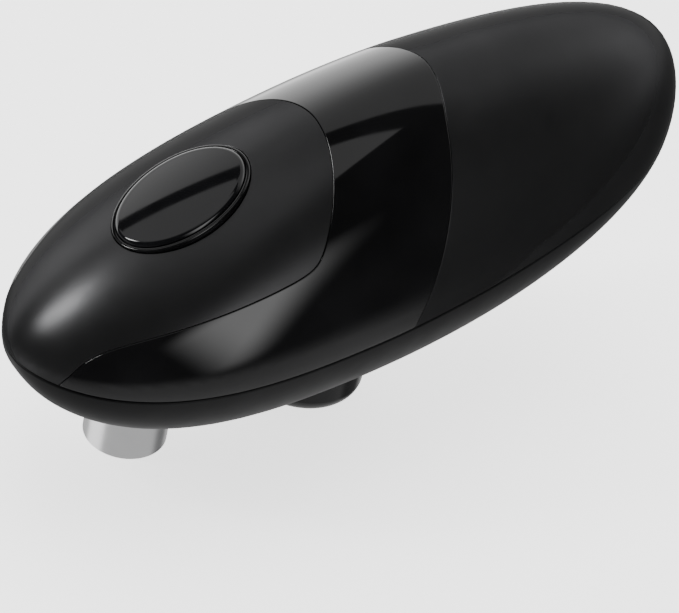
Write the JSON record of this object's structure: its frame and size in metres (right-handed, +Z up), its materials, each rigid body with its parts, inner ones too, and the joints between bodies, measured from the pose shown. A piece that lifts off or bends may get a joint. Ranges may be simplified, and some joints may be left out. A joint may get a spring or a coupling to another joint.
{
  "type": "electric can opener",
  "caption": "Egg-shaped battery can opener with an oval start button, a steel cutter boss, a serrated drive wheel and a lid magnet beneath.",
  "frame": {"origin": "middle of the length and width, on the plane of the cutter boss's lower end", "axes": "+Z up along the cutter boss, +X along the body towards the battery end, -X towards the nose and button, +Y to the side"},
  "size_m": [0.19, 0.07, 0.0995],
  "materials": {
    "matte_black": "fine satin-matte moulding",
    "cover_black": "matte moulding",
    "piano_black": "polished",
    "button_black": "polished",
    "boss_metal": "satin turned",
    "blade_steel": "ground",
    "gear_steel": "sintered",
    "zinc_steel": "zinc plated",
    "gear_white": "natural acetal",
    "frame_plastic": "natural nylon",
    "pinion_brass": "turned",
    "copper_winding": "enamelled windings",
    "board_green": "solder mask",
    "inner_black": "moulded",
    "plunger_cream": "moulded",
    "spring_steel": "drawn wire",
    "magnet_nickel": "nickel plated",
    "cell_jacket": "printed foil sleeve without a mark"
  },
  "bodies": {
    "housing": {"front_shell": "matte_black", "gloss_band": "piano_black", "rear_shell": "matte_black", "bottom_cover": "cover_black", "door_hinge_pin": "zinc_steel", "button_bezel": "piano_black", "button_spring": "spring_steel", "circuit_board": "board_green", "switch_body": "inner_black", "gearbox_base": "frame_plastic", "gearbox_top": "frame_plastic", "gearbox_posts": "zinc_steel", "gear_pins": "zinc_steel", "motor_can": "zinc_steel", "motor_endcap": "inner_black", "magnet_housing": "piano_black", "magnet": "magnet_nickel", "battery_tray": "inner_black", "battery_cells": "cell_jacket", "contact_plates": "zinc_steel", "contact_springs": "spring_steel", "shell_screws": "zinc_steel"},
    "door": {"battery_door": "cover_black"},
    "button": {"start_button": "button_black"},
    "plunger": {"switch_plunger": "plunger_cream"},
    "rotor": {"motor_shaft": "zinc_steel", "motor_armature": "copper_winding", "motor_pinion": "pinion_brass"},
    "first_gear": {"gear_1": "gear_white"},
    "second_gear": {"gear_2": "gear_white"},
    "third_gear": {"gear_3": "gear_white"},
    "wheel_drive": {"drive_gear": "gear_steel", "drive_shaft": "zinc_steel", "drive_wheel": "gear_steel", "wheel_nut": "zinc_steel", "clutch_washer": "spring_steel"},
    "clutch": {"clutch_gear": "gear_white"},
    "boss": {"cutter_boss": "boss_metal", "boss_gear": "gear_steel", "cutter_screw": "zinc_steel"},
    "cutter": {"cutter_wheel": "blade_steel"}
  },
  "joints": [
    {"name": "battery_door_hinge", "type": "hinge", "parent": "housing", "child": "door", "pos_m": [0.068, 0, 0.0391], "axis": [0, -1, 0], "range_deg": [0, 60]},
    {"name": "button_press", "type": "slide", "parent": "housing", "child": "button", "axis": [0.4572, 0, -0.8894], "range_m": [0, 0.0015], "stiffness_N_per_m": 800, "springref_m": -0.001, "deforming": ["button_spring"]},
    {"name": "plunger_press", "type": "slide", "parent": "housing", "child": "plunger", "axis": [0.4572, 0, -0.8894], "range_m": [0, 0.0015]},
    {"name": "boss_swing", "type": "hinge", "parent": "housing", "child": "boss", "pos_m": [-0.058, 0, 0], "axis": [0, 0, -1], "range_deg": [0, 60]},
    {"name": "clutch_turn", "type": "hinge", "parent": "housing", "child": "clutch", "pos_m": [-0.0363, 0, 0.028], "axis": [0, 0, -1], "range_deg": [-84, 0]},
    {"name": "cutter_spin", "type": "hinge", "parent": "boss", "child": "cutter", "pos_m": [-0.055, 0.0052, 0.013], "axis": [0, 0, 1], "continuous": true},
    {"name": "wheel_turn", "type": "hinge", "parent": "housing", "child": "wheel_drive", "pos_m": [-0.0363, 0, 0.03], "axis": [0, 0, 1], "continuous": true},
    {"name": "gear_3_turn", "type": "hinge", "parent": "housing", "child": "third_gear", "pos_m": [-0.01975, 0.01388, 0.03], "axis": [0, 0, 1], "continuous": true},
    {"name": "gear_2_turn", "type": "hinge", "parent": "housing", "child": "second_gear", "pos_m": [-0.00943, -0.00086, 0.03], "axis": [0, 0, 1], "continuous": true},
    {"name": "gear_1_turn", "type": "hinge", "parent": "housing", "child": "first_gear", "pos_m": [0.0046, 0.00724, 0.03], "axis": [0, 0, 1], "continuous": true},
    {"name": "motor_turn", "type": "hinge", "parent": "housing", "child": "rotor", "pos_m": [-0.0029, -0.00575, 0.03], "axis": [0, 0, 1], "continuous": true}
  ],
  "couplings": [
    {"joint": "plunger_press", "follows": "button_press", "ratio": 1},
    {"joint": "clutch_turn", "follows": "boss_swing", "ratio": -1.3846},
    {"joint": "gear_3_turn", "follows": "wheel_turn", "ratio": -3},
    {"joint": "gear_2_turn", "follows": "wheel_turn", "ratio": 9},
    {"joint": "gear_1_turn", "follows": "wheel_turn", "ratio": -31.5},
    {"joint": "motor_turn", "follows": "wheel_turn", "ratio": 126}
  ]
}
